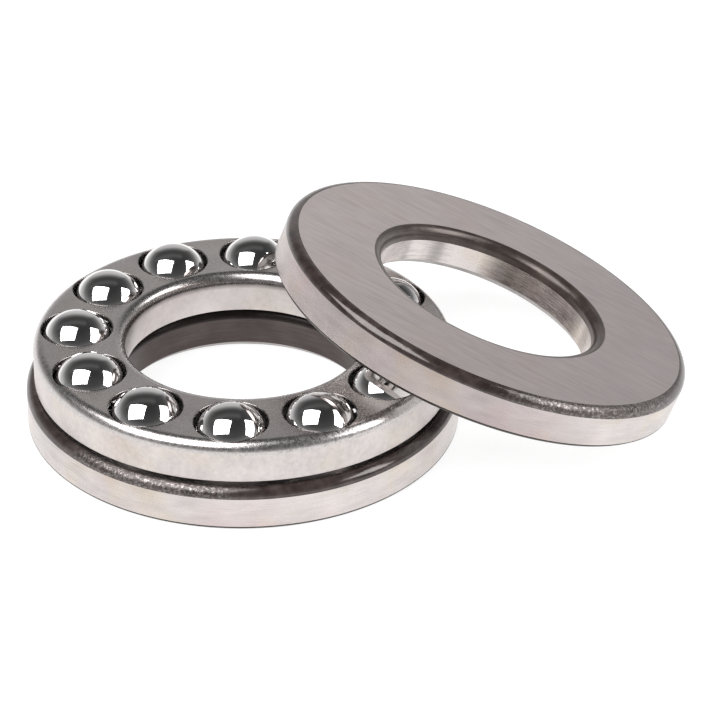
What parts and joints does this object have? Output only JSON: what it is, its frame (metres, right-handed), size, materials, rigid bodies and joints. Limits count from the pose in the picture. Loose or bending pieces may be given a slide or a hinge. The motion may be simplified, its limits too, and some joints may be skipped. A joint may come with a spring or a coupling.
{
  "type": "thrust ball bearing",
  "caption": "Single-direction thrust ball bearing, partly taken apart: caged balls on the flat housing washer, the shaft washer lifted off and leaning beside them.",
  "frame": {"origin": "centre of the housing washer's bore, halfway up the washer's thickness", "axes": "+Z along the bearing axis, up from the housing washer towards the balls; +X towards the side where the lifted shaft washer lies, turned about 7 degrees from its low side"},
  "size_m": [0.0721, 0.0509, 0.0205],
  "materials": {
    "washer_steel": "ground bearing steel with dark heat-treated rounded corners",
    "cage_steel": "pressed sheet steel, satin",
    "ball_steel": "mirror-polished bearing steel"
  },
  "bodies": {
    "housing_washer": {"housing_washer": "washer_steel"},
    "cage": {"cage": "cage_steel"},
    "shaft_washer": {"shaft_washer": "washer_steel"},
    "ball_01": {"ball_01": "ball_steel"},
    "ball_02": {"ball_02": "ball_steel"},
    "ball_03": {"ball_03": "ball_steel"},
    "ball_04": {"ball_04": "ball_steel"},
    "ball_05": {"ball_05": "ball_steel"},
    "ball_06": {"ball_06": "ball_steel"},
    "ball_07": {"ball_07": "ball_steel"},
    "ball_08": {"ball_08": "ball_steel"},
    "ball_09": {"ball_09": "ball_steel"},
    "ball_10": {"ball_10": "ball_steel"},
    "ball_11": {"ball_11": "ball_steel"},
    "ball_12": {"ball_12": "ball_steel"}
  },
  "joints": [
    {"name": "cage_orbit", "type": "hinge", "parent": "housing_washer", "child": "cage", "pos_m": [0, 0, 0.00515], "axis": [0, 0, 1], "continuous": true},
    {"name": "shaft_washer_spin", "type": "hinge", "parent": "housing_washer", "child": "shaft_washer", "pos_m": [0.02535, 0.0039, 0.0058], "axis": [0.3488, 0.0465, 0.9361], "continuous": true},
    {"name": "ball_01_roll", "type": "hinge", "parent": "cage", "child": "ball_01", "pos_m": [0.01621, 0.00783, 0.00515], "axis": [0.9003, 0.4352, 0], "continuous": true},
    {"name": "ball_02_roll", "type": "hinge", "parent": "cage", "child": "ball_02", "pos_m": [0.01012, 0.01489, 0.00515], "axis": [0.5621, 0.8271, 0], "continuous": true},
    {"name": "ball_03_roll", "type": "hinge", "parent": "cage", "child": "ball_03", "pos_m": [0.00132, 0.01795, 0.00515], "axis": [0.0732, 0.9973, 0], "continuous": true},
    {"name": "ball_04_roll", "type": "hinge", "parent": "cage", "child": "ball_04", "pos_m": [-0.00783, 0.01621, 0.00515], "axis": [-0.4352, 0.9003, 0], "continuous": true},
    {"name": "ball_05_roll", "type": "hinge", "parent": "cage", "child": "ball_05", "pos_m": [-0.01489, 0.01012, 0.00515], "axis": [-0.8271, 0.5621, 0], "continuous": true},
    {"name": "ball_06_roll", "type": "hinge", "parent": "cage", "child": "ball_06", "pos_m": [-0.01795, 0.00132, 0.00515], "axis": [-0.9973, 0.0732, 0], "continuous": true},
    {"name": "ball_07_roll", "type": "hinge", "parent": "cage", "child": "ball_07", "pos_m": [-0.01621, -0.00783, 0.00515], "axis": [-0.9003, -0.4352, 0], "continuous": true},
    {"name": "ball_08_roll", "type": "hinge", "parent": "cage", "child": "ball_08", "pos_m": [-0.01012, -0.01489, 0.00515], "axis": [-0.5621, -0.8271, 0], "continuous": true},
    {"name": "ball_09_roll", "type": "hinge", "parent": "cage", "child": "ball_09", "pos_m": [-0.00132, -0.01795, 0.00515], "axis": [-0.0732, -0.9973, 0], "continuous": true},
    {"name": "ball_10_roll", "type": "hinge", "parent": "cage", "child": "ball_10", "pos_m": [0.00783, -0.01621, 0.00515], "axis": [0.4352, -0.9003, 0], "continuous": true},
    {"name": "ball_11_roll", "type": "hinge", "parent": "cage", "child": "ball_11", "pos_m": [0.01489, -0.01012, 0.00515], "axis": [0.8271, -0.5621, 0], "continuous": true},
    {"name": "ball_12_roll", "type": "hinge", "parent": "cage", "child": "ball_12", "pos_m": [0.01795, -0.00132, 0.00515], "axis": [0.9973, -0.0732, 0], "continuous": true}
  ],
  "couplings": [
    {"joint": "shaft_washer_spin", "follows": "cage_orbit", "ratio": 2},
    {"joint": "ball_01_roll", "follows": "cage_orbit", "ratio": -4.5351},
    {"joint": "ball_02_roll", "follows": "cage_orbit", "ratio": -4.5351},
    {"joint": "ball_03_roll", "follows": "cage_orbit", "ratio": -4.5351},
    {"joint": "ball_04_roll", "follows": "cage_orbit", "ratio": -4.5351},
    {"joint": "ball_05_roll", "follows": "cage_orbit", "ratio": -4.5351},
    {"joint": "ball_06_roll", "follows": "cage_orbit", "ratio": -4.5351},
    {"joint": "ball_07_roll", "follows": "cage_orbit", "ratio": -4.5351},
    {"joint": "ball_08_roll", "follows": "cage_orbit", "ratio": -4.5351},
    {"joint": "ball_09_roll", "follows": "cage_orbit", "ratio": -4.5351},
    {"joint": "ball_10_roll", "follows": "cage_orbit", "ratio": -4.5351},
    {"joint": "ball_11_roll", "follows": "cage_orbit", "ratio": -4.5351},
    {"joint": "ball_12_roll", "follows": "cage_orbit", "ratio": -4.5351}
  ]
}
